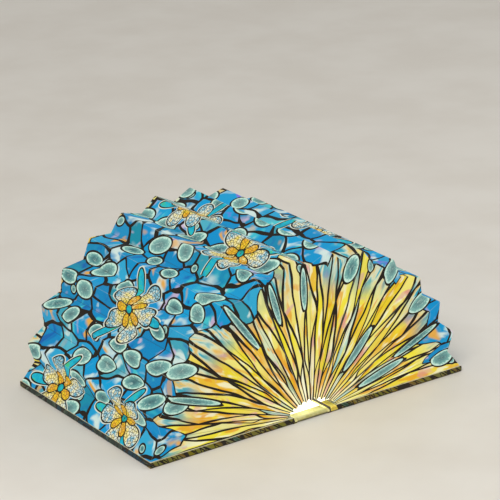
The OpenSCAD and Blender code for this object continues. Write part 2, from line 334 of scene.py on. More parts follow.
def blossomGroup():
    # round blossoms of two rings of petals over three slim leaves, on a staggered lattice
    given = startGroup("blossoms", {
        "Across": 0.0, "Along": 0.0, "Base": lead, "Reach": 85 * mm, "Seed": 0.0}, ("Color", "Mask"))
    column = given["Across"] / blossom["pitchAcross"] + given["Seed"]
    shift = column.do("FLOOR").do("MODULO", 2.0) * 0.5
    row = given["Along"] / blossom["pitchAlong"] + shift
    jitterX, jitterY, turn = dice(column.do("FLOOR"), row.do("FLOOR"), form="2D")
    middle = (row.do("FLOOR") + 0.5 - shift) * blossom["pitchAlong"]
    x = (column.do("FRACT") - 0.5) * blossom["pitchAcross"] + (jitterX - 0.5) * blossom["jitterAcross"]
    y = (row.do("FRACT") - 0.5) * blossom["pitchAlong"] + (jitterY - 0.5) * blossom["jitterAlong"]
    grow = jitterX.spread(0.86, 1.1)
    x, y = x / grow, y / grow
    radius = (x * x + y * y).do("SQRT")
    heading = y.do("ARCTAN2", x) + turn * (2 * math.pi)

    def petal(count, start, middleAt, half, width):
        # signed distance to the nearest petal of a ring
        step = 2 * math.pi / count
        angle = (heading + start).do("WRAP", step / 2, -step / 2)
        px = (radius * angle.do("COSINE") - middleAt) / half
        py = radius * angle.do("SINE") / (px.ramp(-1, 1, 0.62, 1.12) * width)
        return ovalDistance(px, py, half, width)[1]

    leaves, outer, inner = (petal(*blossom[ring]) for ring in ("leaves", "outer", "inner"))
    heart = radius - blossom["heart"]
    flat = joined(given["Across"], given["Along"])
    crackle = cells(flat, 330.0, voronoi_dimensions="2D", feature="DISTANCE_TO_EDGE")
    cracks = Num(crackle["Distance"]).fade(0.05, 0.14)
    flow = noise(flat, 85, 2.0, 0.6) + (noise(flat, 260, 1.0) - 0.5) * 0.4
    petalInk = palette(flow + (radius - 18 * mm) * 14, blossom["petalInks"])
    whole = leaves.do("MINIMUM", outer).do("MINIMUM", inner)
    halo = whole.fade(blossom["halo"], blossom["halo"] + 0.3 * mm)
    colour = mixed(halo, given["Base"], ink(214, 222, 206))
    for distance, filling, line in (
            (leaves, palette(flow, blossom["leafInks"]), 0.55 * mm),
            (outer, mixed(cracks * 0.85, petalInk, lead), 0.55 * mm),
            (inner, mixed(cracks * 0.6, palette(flow, blossom["innerInks"]), lead), 0.45 * mm),
            (heart, palette(flow, blossom["heartInks"]), 0.5 * mm)):
        colour = mixed(distance.fade(-0.1 * mm, 0.1 * mm), colour, filling)
        colour = mixed(distance.size().fade(line, line + 0.25 * mm), colour, lead)
    here = halo * middle.size().do("LESS_THAN", given["Reach"])
    return endGroup({"Color": mixed(here, given["Base"], colour), "Mask": here})


def paneGroup():
    # irregular panes; the distance to the nearest side is in metres although the lattice is stretched
    given = startGroup("panes", {
        "X": 0.0, "Y": 0.0, "Width": glass["paneWidth"], "Length": glass["paneLength"], "Looseness": 0.92,
    }, ("Side", "Corner", "Tone", "Shift", "Middle"))
    spot = joined(given["X"], given["Y"])
    first, second = (cells(spot, 1.0, given["Looseness"], voronoi_dimensions="2D", feature=feature)
                     for feature in ("F1", "F2"))
    firstX, firstY, _ = parts(first["Position"])
    secondX, secondY, _ = parts(second["Position"])
    stepX, stepY = secondX - firstX, secondY - firstY
    away = ((firstX + secondX) * 0.5 - given["X"]) * stepX + ((firstY + secondY) * 0.5 - given["Y"]) * stepY
    slope = ((stepX / given["Width"]) ** 2 + (stepY / given["Length"]) ** 2).do("SQRT")
    tone, shift, _ = parts(first["Color"])
    return endGroup({
        "Side": away / slope, "Corner": first["Distance"], "Tone": tone, "Shift": shift, "Middle": firstY})


def rayGroup():
    # long pointed rays: lines a width apart, and between each two a line that swings from one to the other
    given = startGroup("rays", {
        "Across": 0.0, "Along": 0.0, "Squeeze": 1.0, "Width": glass["rayWidth"], "Swing": glass["raySwing"],
        "Merge": 1.0}, ("Side", "Tone", "Shift"))
    place = given["Across"] / given["Width"]
    column, inColumn = place.do("FLOOR"), place.do("FRACT")
    farEnd = given["Along"].do("SIGN") * 5
    phase, pace, rest = dice(column, farEnd, 0.5)
    turn = given["Along"].size() / given["Swing"] * pace.spread(0.8, 1.25) + phase
    settled = given["Along"].size().ramp(given["Merge"] - 30 * mm, given["Merge"] - rest * 20 * mm)
    swung = (turn * 2).do("PINGPONG", 1.0)
    divider = swung * (1 - settled) + rest.do("GREATER_THAN", 0.5) * settled
    gap = inColumn - divider
    onRight = gap.do("GREATER_THAN", 0.0)
    reach = given["Width"] * given["Squeeze"]
    slope = reach * 2 / given["Swing"]
    toDivider = gap.size() * reach / (slope * slope + 1).do("SQRT")
    toLine = inColumn.do("MINIMUM", 1 - inColumn) * reach
    tone, shift, _ = dice(column, (turn + onRight * 0.5).do("FLOOR") + onRight * 40, farEnd)
    return endGroup({"Side": toDivider.do("MINIMUM", toLine), "Tone": tone, "Shift": shift})


scatteredStones = stoneGroup()
blossoms = blossomGroup()
panes = paneGroup()
rayLines = rayGroup()


def glassGroup():
    # blue panes with stones and blossoms in the middle, and gold rays past the edge
    given = startGroup("leaded glass", {
        "Across": 0.0, "Along": 0.0, "Squeeze": 1.0, "Edge": shade["halfLength"], "Line": 1.0, "Seed": 0.0,
    }, ("Color", "Lead"))
    across, along, squeeze, edge, line, seed = given.values()
    flat = joined(across, along, seed)
    wanderX, wanderY, wanderZ = drift(flat, 27.0, 0.5)
    rippleX, rippleY, _ = drift(flat, 78.0, 0.0)

    def cloud(layer, scale, detail, roughness, distortion=0.0, x=across, y=along):
        return noise(joined(x, y, seed + layer), scale, detail, roughness, distortion)

    # blue panes
    pane = useGroup(panes, {
        "X": across / glass["paneWidth"] + (wanderX - 0.5) * 0.95 + (rippleX - 0.5) * 0.13 + seed,
        "Y": along / glass["paneLength"] + (wanderY - 0.5) * 0.85 + (rippleY - 0.5) * 0.11,
        "Width": squeeze * glass["paneWidth"]})
    ragged = (pane["Shift"] - 0.4) * glass["raggedness"] + 4 * mm
    rays = (pane["Middle"].size() * glass["paneLength"] - ragged).do("GREATER_THAN", edge)
    fillet = pane["Corner"].ramp(0.35, 0.85, 0.88, 1.55)
    paneLine = fillet * wanderZ.ramp(0.3, 0.7, 0.8, 1.2) * line * glass["paneLine"]
    paneLead = pane["Side"].fade(paneLine, paneLine + 0.2 * mm)
    milk = noise(flat, 40, 2.5, 0.55, 0.7)
    tint = cloud(3, 38, 2.0, 0.5, 0.8)
    spark = cloud(7, 44, 1.5, 0.5, 0.7)
    blue = palette(pane["Tone"], glass["blues"])
    for share, colour in (
            (milk.ramp(0.40, 0.24), ink(14, 92, 170)),
            (tint.ramp(0.58, 0.72) * 0.9, ink(70, 200, 204)),
            (milk.ramp(0.55, 0.67) * 0.9, ink(214, 232, 222)),
            (spark.ramp(0.60, 0.70) * pane["Shift"].ramp(0.3, 0.5), ink(226, 168, 74)),
            (tint.ramp(0.34, 0.24) * pane["Shift"].ramp(0.6, 0.4), ink(118, 112, 214)),
            ((1 - spark).ramp(0.64, 0.74) * 0.7, ink(220, 184, 206))):
        blue = mixed(share, blue, colour)

    # gold rays
    ray = useGroup(rayLines, {
        "Across": across + (wanderX - 0.5) * (7 * mm) + (rippleX - 0.5) * (1.4 * mm) + seed * (31 * mm),
        "Along": along, "Squeeze": squeeze, "Merge": edge + 124 * mm})
    narrow = (squeeze ** 0.5).do("MAXIMUM", 0.4)
    rayLine = narrow * wanderZ.ramp(0.3, 0.7, 0.75, 1.2) * line * glass["rayLine"]
    rayLead = ray["Side"].fade(rayLine, rayLine + 0.18 * mm)
    streak = cloud(11, 42, 2.5, 0.55, 0.4, across * 2.2, along * 0.8)
    flame = cloud(17, 46, 2.0, 0.5, 0.5, across * 1.6, along * 0.7)
    past = along.size() - edge
    nearHub = past.ramp(60 * mm, 110 * mm)
    toRim = past.ramp(46 * mm, 8 * mm) * ray["Shift"].ramp(0.15, 0.4)
    gold = mixed(nearHub, palette(ray["Tone"], glass["golds"]), palette(ray["Tone"], glass["hubGolds"]))
    for share, colour in (
            (streak.ramp(0.53, 0.63) * 0.8, ink(242, 242, 206)),
            (flame.ramp(0.55, 0.64) * 0.8, ink(228, 156, 34)),
            (spark.ramp(0.62, 0.68) * 0.5, ink(214, 142, 170)),
            (flame.ramp(0.44, 0.3) * 0.7, ink(238, 222, 36)),
            (toRim, palette(streak, glass["rimInks"]))):
        gold = mixed(share, gold, colour)
    leads = paneLead * (1 - rays) + rayLead * rays
    colour = mixed(leads, mixed(rays, blue, gold), lead)

    # small stones between the panes, large ones on them and long ones among the rays
    def scattered(kind, x, y, layer):
        return useGroup(scatteredStones, {
            "Across": x, "Along": y, "Squeeze": squeeze, "Seed": seed + layer,
            **dict(zip(stoneLabels, stones[kind]))})

    nudged = across + (wanderZ - 0.5) * (2 * mm)
    farSide = along.do("SIGN") * (110 * mm)  # so that the rays of the two ends don't have the same stones
    pebble = scattered("pebble", nudged, along, 4.2)
    bead = scattered("bead", nudged, along, 12.9)
    spear = scattered("spear", across, along + farSide, 8.6)
    farRays = (spear["Centre Along"] - farSide).size() - edge
    mottle = cloud(23, 360, 3.0, 0.7)
    scratch = cloud(29, 210, 4.0, 0.72, 2.4, across, along * 0.5)
    for stone, there in (
            (bead, (bead["Centre Along"].size() - edge).do("LESS_THAN", 8 * mm)),
            (pebble, (pebble["Centre Along"].size() - edge).do("LESS_THAN", 15 * mm)),
            (spear, farRays.do("GREATER_THAN", 24 * mm) * farRays.do("LESS_THAN", 90 * mm))):
        distance = stone["Distance"] + (1 - there)
        body = palette(stone["Inner"] + (mottle - 0.5) * 0.8, glass["stoneInks"])
        body = mixed(scratch.ramp(0.54, 0.62) * 0.42, body, ink(206, 236, 220))
        body = mixed(stone["Tone"].ramp(0.2, 0.9) * 0.2, body, ink(186, 220, 206))
        inside = distance.fade(-0.12 * mm, 0.12 * mm)
        ring = distance.fade(glass["stoneRing"], glass["stoneRing"] + 0.25 * mm)
        colour = mixed(inside, mixed(ring, colour, lead), body)
        leads = (leads * (1 - ring) + ring) * (1 - inside)
    flower = useGroup(blossoms, {
        "Across": across, "Along": along, "Base": colour, "Seed": seed + 0.3, "Reach": edge - 22 * mm})
    return endGroup({"Color": flower["Color"], "Lead": leads * (1 - flower["Mask"])})


leadedGlass = glassGroup()


def grainGroup():
    # fine fibres and faint cloudiness of printed paper
    given = startGroup("paper grain", {"Place": Vector(), "Fibre": 1.0}, ("Height", "Roughness", "Shade"))
    fine = noise(given["Place"], 2600, 3.0, 0.6)
    fibre = noise(stretched(given["Place"], (1.0, 0.25, 1.0)), 1500, 2.0, 0.6)
    broad = noise(given["Place"], 60, 2.0, 0.5)
    return endGroup({
        "Height": (fine * 0.6 + fibre * 0.4) * given["Fibre"], "Roughness": broad.ramp(0.3, 0.7, 0.46, 0.60),
        "Shade": (broad * 0.5 + fibre * 0.5).ramp(0.3, 0.7, 0.94, 1.04)})


paperGrain = grainGroup()
print("glass print ready")


# materials

def ownMap(name):
    return addNode("ShaderNodeUVMap", uv_map=name).outputs[0]


def startMaterial(name, mapName=""):
    # gives back the place on the object, or on its map where one is named
    material = desk["material"] = bpy.data.materials.new(name)
    material.use_nodes = True
    desk["tree"] = material.node_tree
    return ownMap(mapName) if mapName else addNode("ShaderNodeTexCoord").outputs["Object"]


def dress(colour, roughness, height=None, strength=0.3, depth=0.08 * mm, more=()):
    # the started material's colour, roughness and bump, and what else its shader is given
    surface = desk["tree"].nodes["Principled BSDF"]
    inputs = {"Base Color": colour, "Roughness": roughness, **dict(more)}
    if height:
        bump = addNode("ShaderNodeBump", {"Height": height, "Strength": strength, "Distance": depth})
        inputs["Normal"] = bump.outputs[0]
    for name, value in inputs.items():
        plug(value, surface.inputs[name])
    return desk["material"]


def glow(colour, strength):
    return {"Emission Color": colour, "Emission Strength": strength}


def shadeMaterial():
    # the translucent print with a painted glow standing in for the light from inside, brighter toward the
    # hub, painted shade in the valleys and pale ridge lines that are partly worn print and partly painted
    # highlight
    sheet = startMaterial("printed shade", "sheetMap")
    across, along, _ = parts(sheet)
    place = parts(ownMap("foldMap"))[0].size()
    fan = (along.size() - shade["halfLength"]).do("MAXIMUM", 0.0)
    squeeze = 1 - fan / shade["radius"]
    pattern = useGroup(leadedGlass, {"Across": across, "Along": along, "Squeeze": squeeze})
    grain = useGroup(paperGrain, {"Place": sheet})
    # pale lines along the ridges and the rim: partly worn print, partly painted highlight
    ridge = (place * squeeze).fade(0.2 * mm, 0.45 * mm)
    rim = (along.size() - shade["halfLength"]).size().fade(0.2 * mm, 0.4 * mm)
    # painted shade in the valleys
    valleyShade = ((panelWidth - place) * squeeze).fade(0.1 * mm, 0.7 * mm)
    worn = ridge.do("MAXIMUM", rim) * noise(sheet, 150, 2.0).ramp(0.3, 0.6, 0.25, 0.8)
    # painted glow from the light core, white-hot toward the hub
    hubGlow = fan.ramp(110 * mm, 137 * mm)
    colour = mixed(worn * 0.3, pattern["Color"], ink(206, 212, 190))
    colour = mixed(valleyShade * 0.4, colour, ink(50, 50, 40))
    hubGlowInk = mixed(pattern["Lead"], ink(255, 250, 214), ink(52, 40, 18))
    lit = shaded(mixed(hubGlow * 0.25, colour, hubGlowInk), grain["Shade"])
    # the base colour is kept dim so that the painted glow carries the colour
    return dress(shaded(lit, 0.3), grain["Roughness"], grain["Height"], 0.25, 0.06 * mm, {
        **glow(shaded(lit, hubGlow * 0.2 + 0.73), 1.0), "Specular IOR Level": 0.14})


def paper(name, colour, light=0.0, grainSize=1.0, inside=False):
    # inside the shade it gets a painted glow, white-hot beside the light core and dimmer away from it
    place = startMaterial(name)
    grain = useGroup(paperGrain, {"Place": place, "Fibre": grainSize})
    toned = shine = shaded(colour, grain["Shade"])
    if inside:
        x, y, _ = parts(place)
        covered = y.size().fade(103 * mm, 105.5 * mm)
        shine = shaded(toned, x.size().ramp(24 * mm, 70 * mm, 1.0, 0.23) * covered)
    return dress(toned, grain["Roughness"], grain["Height"], 0.4, more=glow(shine, light) if light else ())


wrap = {
    "squeeze": 0.62,  # the print is drawn smaller than on the shade
    "raysFrom": 74 * mm,  # half the length of its blue part
    "line": 0.7,
    "leftBand": 21 * mm,  # where the gold band beside each hinge ends, from the middle
    "rightBand": 28.5 * mm,
    "stroke": 1.3 * mm,  # half the width of the black line beside the band
    "rim": 5.15 * mm,  # height of the painted light line round the shade's foot
    "edgeShadeInk": ink(106, 110, 82),
    "foreShadeInk": ink(66, 62, 42),
    "rimLightInk": ink(206, 200, 168),
}


def wrapPrint(sheetAcross, along, seed, line=1.0):
    return useGroup(leadedGlass, {
        "Across": sheetAcross / wrap["squeeze"], "Along": along, "Squeeze": wrap["squeeze"],
        "Edge": wrap["raysFrom"], "Line": line, "Seed": seed})["Color"]


def wrapMaterial():
    # the same print round the covers, with painted shade on their edges, a painted light line on the rim, and
    # a gold band beside the hinge with a painted glow on its upper part
    place = startMaterial("printed wrap")
    x, y, z = parts(place)
    pattern = wrapPrint(x + z * 1.4, (y.size() + z) * y.do("SIGN"), 6.2, wrap["line"])
    grain = useGroup(paperGrain, {"Place": place})
    # painted shade on the edges, darkest on the fore edges
    edge = z.ramp(0.2 * mm, 1.2 * mm)
    fore = x.size().ramp(166 * mm, 167.5 * mm)
    edgeShade = mixed(edge * 0.9, ink(236, 236, 236), mixed(fore, wrap["edgeShadeInk"], wrap["foreShadeInk"]))
    colour = mixed(1.0, pattern, edgeShade, "MULTIPLY")
    wear = noise(place, 420, 3.0, 0.6)
    hinge = (x.size() + z * 0.5) + (wear - 0.5) * (0.9 * mm)
    bandEdge = x.do("GREATER_THAN", 0.0) * (wrap["rightBand"] - wrap["leftBand"]) + wrap["leftBand"]
    band = (hinge - bandEdge).fade(-0.3 * mm, 0.2 * mm) * edge
    stroke = (hinge - bandEdge - 1.2 * mm).size().fade(wrap["stroke"], wrap["stroke"] + 0.4 * mm)
    colour = mixed(band * 0.85, colour, twoInks(wear, (214, 182, 56), (232, 214, 100)))
    # a black line along the foot of the edges
    footLine = z.ramp(0.15 * mm, 0.3 * mm) * z.ramp(1.1 * mm, 0.8 * mm)
    tick = noise(joined(x + y + z * 0.5, 0.0), 105, 0.0)
    ticks = (tick - 0.5).size().fade(0.016, 0.034) * edge * (1 - band)
    colour = mixed(stroke.do("MAXIMUM", footLine).do("MAXIMUM", ticks), colour, lead)
    # a painted light line along the rim, broken up by noise
    rim = z.ramp(wrap["rim"], wrap["rim"] + 0.2 * mm) * (1 - band)
    colour = mixed(rim * wear.ramp(0.35, 0.55, 0.55, 0.95), colour, wrap["rimLightInk"])
    # painted glow on the upper part of the gold band
    return dress(shaded(colour, grain["Shade"]), grain["Roughness"] - 0.12, grain["Height"], more={
        **glow(shaded(colour, band * z.ramp(3 * mm, 5 * mm)), 0.35),
        "Specular IOR Level": 0.2, "Coat Weight": 0.05, "Coat Roughness": 0.3})


def creamInk(place):
    streak = noise(place, 160, 2.0, 0.6)
    return streak, palette(streak, [(0.3, 222, 210, 112), (0.5, 232, 224, 150), (0.7, 206, 196, 96)])


def spineMaterial():
    # cream on the spine's inner face and ends with a painted glow from the core, painted shade toward the
    # foot and the end face, the print outside
    place = startMaterial("spine wrap")
    x, y, z = parts(place)
    pattern = wrapPrint(x + z, y, 2.0)
    grain = useGroup(paperGrain, {"Place": place})
    # painted light and shade: bright high on the spine's inner face, darker toward its foot and its end face
    high = z.ramp(0.2 * mm, 3.1 * mm) * y.size().ramp(101 * mm, 107.4 * mm, 1, 0.55)
    cream = mixed(high, ink(36, 34, 14), creamInk(place)[1])
    colour = shaded(mixed(z.ramp(0.1 * mm, 0.5 * mm), pattern, cream), grain["Shade"])
    return dress(colour, grain["Roughness"], grain["Height"], more=glow(shaded(cream, high), 0.3))


def jointMaterial():
    # the wrap's folded joint: cream beside the spine and a dark line beside the board, with a painted glow
    # from the core that fades toward the ends, where painted shade darkens the cream
    sheet = startMaterial("wrap joint", "sheetMap")
    across, along, _ = parts(sheet)
    grain = useGroup(paperGrain, {"Place": sheet})
    streak, cream = creamInk(sheet)
    line = (across + (streak - 0.5) * (0.8 * mm)).ramp(3.1 * mm, 3.7 * mm)
    # painted shade toward the ends, where the painted glow also fades
    endShade = along.size().ramp(98 * mm, 106 * mm)
    cream = shaded(cream, endShade * -0.3 + 1)
    colour = shaded(mixed(line, cream, lead), grain["Shade"])
    light = glow(shaded(colour, endShade * -0.86 + 1), 1.6)
    return dress(colour, grain["Roughness"], grain["Height"], more=light)


def plastic(name, colour, roughness, light=0.0, speck=0.04, scale=900):
    # moulded plastic: faint mottling and a fine moulded skin
    place = startMaterial(name)
    broad, fine = noise(place, 70, 2.0), noise(place, scale, 3.0, 0.6)
    toned = shaded(colour, (broad * 0.6 + fine * 0.4).ramp(0.3, 0.7, 1 - speck, 1 + speck))
    skin = broad.ramp(0.3, 0.7, roughness - 0.05, roughness + 0.07)
    return dress(toned, skin, fine, 0.2, 0.05 * mm, glow(toned, light) if light else ())


def metal(name, colour, roughness, stretch, scale=700):
    # drawn or brushed metal, with its lines along one axis
    place = startMaterial(name)
    lines, broad = noise(stretched(place, stretch), scale, 3.0, 0.6), noise(place, 90, 2.0)
    toned = shaded(colour, (lines * 0.7 + broad * 0.3).ramp(0.3, 0.7, 0.88, 1.06))
    worn = (lines * 0.5 + broad * 0.5).ramp(0.3, 0.7, roughness - 0.06, roughness + 0.1)
    return dress(toned, worn, lines, 0.25, 0.05 * mm, {"Metallic": 1.0})


def stripMaterial():
    # white flexible circuit with copper pads between the chips
    place = startMaterial("light strip")
    pads = ((parts(place)[1] * 190).do("FRACT") - 0.5).size().fade(0.07, 0.09)
    skin = noise(place, 500, 2.0)
    colour = mixed(pads, twoInks(skin, (232, 232, 224), (244, 244, 238)), ink(196, 128, 74))
    return dress(colour, pads * -0.25 + 0.5, pads + skin * 0.2, 0.3, 0.05 * mm, {"Metallic": pads * 0.9})


def foilMaterial():
    # wrinkled foil pouch of the battery with amber tape at its ends
    place = startMaterial("battery foil")
    low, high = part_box("battery")
    middle, reach = (low.y + high.y) / 2, (high.y - low.y) / 2 - 4 * mm
    wrinkle, fine = noise(place, 160, 3.0, 0.6, 1.2), noise(place, 1200, 2.0)
    tape = (parts(place)[1] - middle).size().ramp(reach, reach + 0.4 * mm)
    colour = mixed(tape, twoInks(wrinkle, (150, 156, 166), (196, 202, 210)), ink(206, 160, 40))
    return dress(colour, wrinkle.ramp(0.3, 0.7, 0.26, 0.42), wrinkle * 0.8 + fine * 0.2, 0.5, 0.2 * mm, {
        "Metallic": (1 - tape) * 0.85})


def leadsMaterial():
    # one red and one black silicone lead
    place = startMaterial("battery leads")
    skin = noise(place, 1400, 2.0)
    red = twoInks(skin, (178, 26, 22), (204, 40, 32))
    black = twoInks(skin, (26, 26, 28), (44, 44, 46))
    colour = mixed(parts(place)[0].do("GREATER_THAN", 0.0), black, red)
    return dress(colour, skin.ramp(0.3, 0.7, 0.42, 0.55), skin, 0.2)


def circuitMaterial():
    # green solder mask over copper tracks, with tinned pads
    place = startMaterial("circuit board")
    near = Num(cells(place, 420.0, 0.7, distance="CHEBYCHEV")["Distance"])
    track, pad = (near - 0.36).size().fade(0.04, 0.07), near.fade(0.12, 0.14)
    mask = twoInks(noise(place, 1600, 2.0), (18, 92, 48), (28, 110, 58))
    colour = mixed(pad, mixed(track * 0.6, mask, ink(64, 150, 84)), ink(206, 204, 196))
    return dress(colour, pad * -0.1 + 0.42, track * 0.5 + pad, 0.4, 0.06 * mm, {"Metallic": pad * 0.9})


def socketMaterial():
    # bright shell round a black tongue with gilt contacts
    place = startMaterial("charging socket")
    x, _, z = parts(place)
    low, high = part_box("charge_socket")
    tongue = (z - (low.z + high.z) / 2).size().fade(0.5 * mm, 0.56 * mm)
    tongue = tongue * x.size().fade(3.4 * mm, 3.46 * mm)
    contact = ((x / (0.6 * mm)).do("FRACT") - 0.5).size().fade(0.26, 0.3) * tongue
    brushed = noise(stretched(place, (1.0, 0.1, 1.0)), 2200, 2.0)
    shell = twoInks(brushed, (186, 188, 192), (214, 216, 220))
    colour = mixed(contact, mixed(tongue, shell, ink(22, 22, 24)), ink(214, 170, 84))
    return dress(colour, brushed.ramp(0.3, 0.7, 0.22, 0.36) + tongue * 0.2, brushed, 0.2, 0.03 * mm, {
        "Metallic": 1 - tongue * (1 - contact)})


def foamMaterial():
    pores = Num(cells(startMaterial("foam tape"), 2600.0, feature="SMOOTH_F1")["Distance"])
    colour = palette(pores, [(0.1, 196, 196, 190), (0.6, 236, 236, 230)])
    return dress(colour, pores.ramp(0.1, 0.6, 0.9, 0.75), pores, 0.5, 0.1 * mm)


shadeInk = shadeMaterial()
# painted glow on the sheet's inner face, standing in for the light of the core
sheetInside = paper("sheet inside", ink(250, 240, 206), light=1.25)
wrapInk = wrapMaterial()
jointInk = jointMaterial()
board = paper("grey board", ink(158, 146, 124), grainSize=1.6)
# painted glow on the lining and the glue flap, standing in for the core's light inside the shade
liningGlow = 2.2
lining = paper("lining paper", ink(250, 244, 214), liningGlow, inside=True)
flapPaper = paper("glue flap", ink(248, 240, 206), liningGlow, inside=True)
opalGlow = 2.6
lightStrip = stripMaterial()
finishes = {
    "spine_wrap": spineMaterial(),
    "spine_board": board,
    "spine_lining": lining,
    "core_tape": foamMaterial(),
    "core_channel": metal("drawn channel", ink(198, 200, 204), 0.34, (1.0, 0.05, 1.0)),
    "diffuser": plastic("opal diffuser", ink(255, 248, 224), 0.4, opalGlow),
    "end_cap_front": plastic("opal end cap", ink(255, 248, 226), 0.42, opalGlow),
    "end_cap_back": plastic("shaded end cap", ink(255, 246, 220), 0.42, 0.62),
    "light_strip_left": lightStrip,
    "light_strip_right": lightStrip,
    "battery": foilMaterial(),
    "battery_leads": leadsMaterial(),
    "circuit_board": circuitMaterial(),
    "charge_socket": socketMaterial(),
    "hall_switch": plastic("black resin", ink(30, 30, 32), 0.45, speck=0.1),
    "switch_magnet": metal("plated magnet", ink(206, 204, 200), 0.2, (1.0, 1.0, 0.4), 1500),
}
for side in ("left", "right"):
    for layer, finish in (("wrap", wrapInk), ("board", board), ("lining", lining)):
        finishes[f"cover_{side}_{layer}"] = finish
for name, finish in finishes.items():
    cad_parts[name].material_slots[0].material = finish
print("finishes ready")


# the shade's sheet

sheetSizes = {
    "Pleats": float(shade["pleats"]), "Radius": shade["radius"], "Hub": shade["hub"],
    "Hub Drop": shade["hubDrop"], "Scallop": shade["scallop"], "Depth": shade["depth"],
    "Half Length": shade["halfLength"], "Inset": shade["inset"], "Hinge X": shade["hingeX"],
    "Hinge Z": shade["hingeZ"], "Seat": shade["seat"], "Soft": shade["soft"],
    "Corner Soft": shade["cornerSoft"], "Sag": shade["sag"], "Pleat Width": pleatWidth,
    "Columns": shade["columns"], "Rows": shade["rows"],
}


def stored(shape, name, value, form, domain):
    # the shape with a named attribute on it
    inputs = {"Geometry": shape, "Name": name}
    node = addNode("GeometryNodeStoreNamedAttribute", inputs, data_type=form, domain=domain)
    plug(value, [i for i in node.inputs if i.name == "Value" and i.enabled][0])
    return node.outputs["Geometry"]


def sheetTree():
    given = startGroup("pleated sheet", {
        "Ridge": 1.0, "From": -1.0, "To": 1.0, **sheetSizes, "Material": "NodeSocketMaterial",
    }, ("Geometry",), "GeometryNodeTree")
    (ridge, start, stop, pleats, radius, hub, hubDrop, scallop, depth, halfLength, inset, hingeX, hingeZ,
     seat, soft, cornerSoft, sag, pleatSize, columns, rows, material) = given.values()
    grid = addNode("GeometryNodeMeshGrid", {
        "Size X": 1.0, "Size Y": 1.0, "Vertices X": columns, "Vertices Y": rows})
    gridX, gridY, _ = parts(addNode("GeometryNodeInputPosition").outputs[0])

    # across the pleat, closer together at its ridge
    gather = 1.5
    share = (gridX + 0.5) * (stop - start) + start
    offset = share.do("SIGN") * share.size() ** gather
    s = ridge + offset * 0.5
    flat = ((offset * offset + soft * soft).do("SQRT") - soft) / ((soft * soft + 1).do("SQRT") - soft)

    # along the sheet, from the hub over the rim to the other hub, closer together at the rim
    v = gridY * 2
    reach = v.size()
    bend = 0.42
    onStrip = 1 - (1 - (reach / bend).do("MINIMUM", 1.0)) ** gather
    onFan = ((reach - bend).do("MAXIMUM", 0.0) / (1 - bend)) ** gather
    rim = radius - depth * flat - sag * 4 * flat * (1 - flat)
    corner = halfLength - inset * flat * rim / radius
    middle = 1 - s * 2 / pleats
    inner = hub - hubDrop * middle * middle + scallop * (0.5 - flat)
    fan = rim - inner
    path = corner * onStrip + fan * onFan

    def lesser(a, b):
        # the smaller of two, rounded where they meet
        gap = a - b
        return (a + b - (gap * gap + cornerSoft * cornerSoft * 4).do("SQRT")) * 0.5

    r = inner + lesser(fan, corner + fan - path)
    y = (lesser(corner, path) + inset * flat * (rim - r) / radius) * v.do("SIGN")
    angle, along = s * foldAngle, s * 2 / pleats
    lift = seat * (1 - along)
    x = hingeX * (along - 1) - r * angle.do("COSINE") + lift * angle.do("SINE")
    z = hingeZ + r * angle.do("SINE") + lift * angle.do("COSINE")

    # both maps are worked out from the flat grid, so they are kept before the points move
    sheetMap = joined(s * pleatSize, (halfLength * onStrip + (radius - hub) * onFan) * v.do("SIGN"))
    foldMap = joined(offset * pleatSize * 0.5, 0.0)
    shape = stored(grid.outputs["Mesh"], "sheetMap", sheetMap, "FLOAT2", "CORNER")
    shape = stored(shape, "foldMap", foldMap, "FLOAT2", "CORNER")
    placed = addNode("GeometryNodeSetPosition", {"Geometry": shape, "Position": joined(x, y, z)})
    real = addNode("GeometryNodeRealizeInstances", {"Geometry": placed.outputs["Geometry"]})
    dressed = addNode("GeometryNodeSetMaterial", {"Geometry": real.outputs["Geometry"], "Material": material})
    return endGroup({"Geometry": dressed.outputs["Geometry"]})


pleatedSheet = sheetTree()


def linked(name, data):
    made = bpy.data.objects.new(name, data)
    bpy.context.scene.collection.objects.link(made)
    return made


def addPiece(name, mesh, sharp=40):
    piece = linked(name, mesh)
    mesh.polygons.foreach_set("use_smooth", [True] * len(mesh.polygons))
    mesh.set_sharp_from_angle(angle=math.radians(sharp))
    return piece


def grown(name, tree, values, thickness=0.0):
    # a plain mesh object from a geometry tree, given a wall where a thickness is named
    holder = linked(name + " maker", bpy.data.meshes.new(name + " maker"))
    modifier = holder.modifiers.new("shape", "NODES")
    modifier.node_group = tree
    for item in tree.interface.items_tree:
        if item.item_type == "SOCKET" and item.in_out == "INPUT" and item.name in values:
            modifier[item.identifier] = values[item.name]
    if thickness:
        wall = holder.modifiers.new("wall", "SOLIDIFY")
        wall.thickness, wall.offset, wall.material_offset = thickness, -1.0, 1
    mesh = bpy.data.meshes.new_from_object(holder.evaluated_get(bpy.context.evaluated_depsgraph_get()))
    bpy.data.objects.remove(holder)
    mesh.name = name
    return addPiece(name, mesh)


def makeSheet(name, ridge, start, stop, columns):
    piece = grown(name, pleatedSheet, {
        **sheetSizes, "Ridge": float(ridge), "From": float(start), "To": float(stop), "Columns": columns,
        "Material": shadeInk}, shade["thick"])
    piece.data.materials.append(sheetInside)
    return piece


for k in range(1, shade["pleats"]):
    piece = makeSheet(f"shade_pleat_{k:02d}", k, -1, 1, shade["columns"])
    along, angle = 2 * k / shade["pleats"], k * foldAngle
    hinge, seat = shade["hingeX"] * (along - 1), shade["seat"] * (1 - along)
    up = (math.sin(angle), 0.0, math.cos(angle))
    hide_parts(f"pleat_{k}")
    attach(piece, f"leaf_{k}")
    hinge + seat * up[0]
    shade["hingeZ"] + seat * up[2]
    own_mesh(piece)

